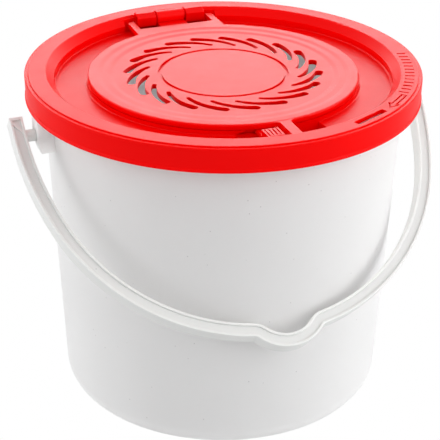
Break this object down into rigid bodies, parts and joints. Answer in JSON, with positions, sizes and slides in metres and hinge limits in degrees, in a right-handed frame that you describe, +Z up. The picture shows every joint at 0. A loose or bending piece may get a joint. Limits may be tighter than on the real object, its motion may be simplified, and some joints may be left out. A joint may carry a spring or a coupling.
{
  "type": "live bait bucket",
  "caption": "Round tapered plastic bucket with a push-on lid ring, a vented flip-top hatch hinged to it, and an I-section bail that leans on the wall.",
  "frame": {"origin": "centre of the base, on the surface the bucket stands on", "axes": "+Z up the bucket's axis, +Y towards the lid's hinge, -Y towards the latch and the resting bail, X along the bail's pivots"},
  "size_m": [0.2752, 0.2541, 0.2216],
  "materials": {
    "bucket_white": "natural white polyethylene, slightly cloudy, fine speckle, satin",
    "bail_white": "white polyethylene, moulded I-section, satin",
    "lid_red": "saturated red polyethylene, semi-gloss with fine moulded grain",
    "door_red": "saturated red polyethylene, semi-gloss with fine moulded grain"
  },
  "bodies": {
    "bucket": {"bucket_body": "bucket_white"},
    "handle": {"bail_handle": "bail_white"},
    "lid": {"lid_ring": "lid_red"},
    "door": {"vent_door": "door_red"}
  },
  "joints": [
    {"name": "handle_swing", "type": "hinge", "parent": "bucket", "child": "handle", "pos_m": [0, 0, 0.1902], "axis": [-1, 0, 0], "range_deg": [0, 260]},
    {"name": "lid_lift", "type": "slide", "parent": "bucket", "child": "lid", "axis": [0, 0, 1], "range_m": [0, 0.06]},
    {"name": "door_hinge", "type": "hinge", "parent": "lid", "child": "door", "pos_m": [0, 0.105, 0.2174], "axis": [-1, 0, 0], "range_deg": [0, 150]}
  ]
}
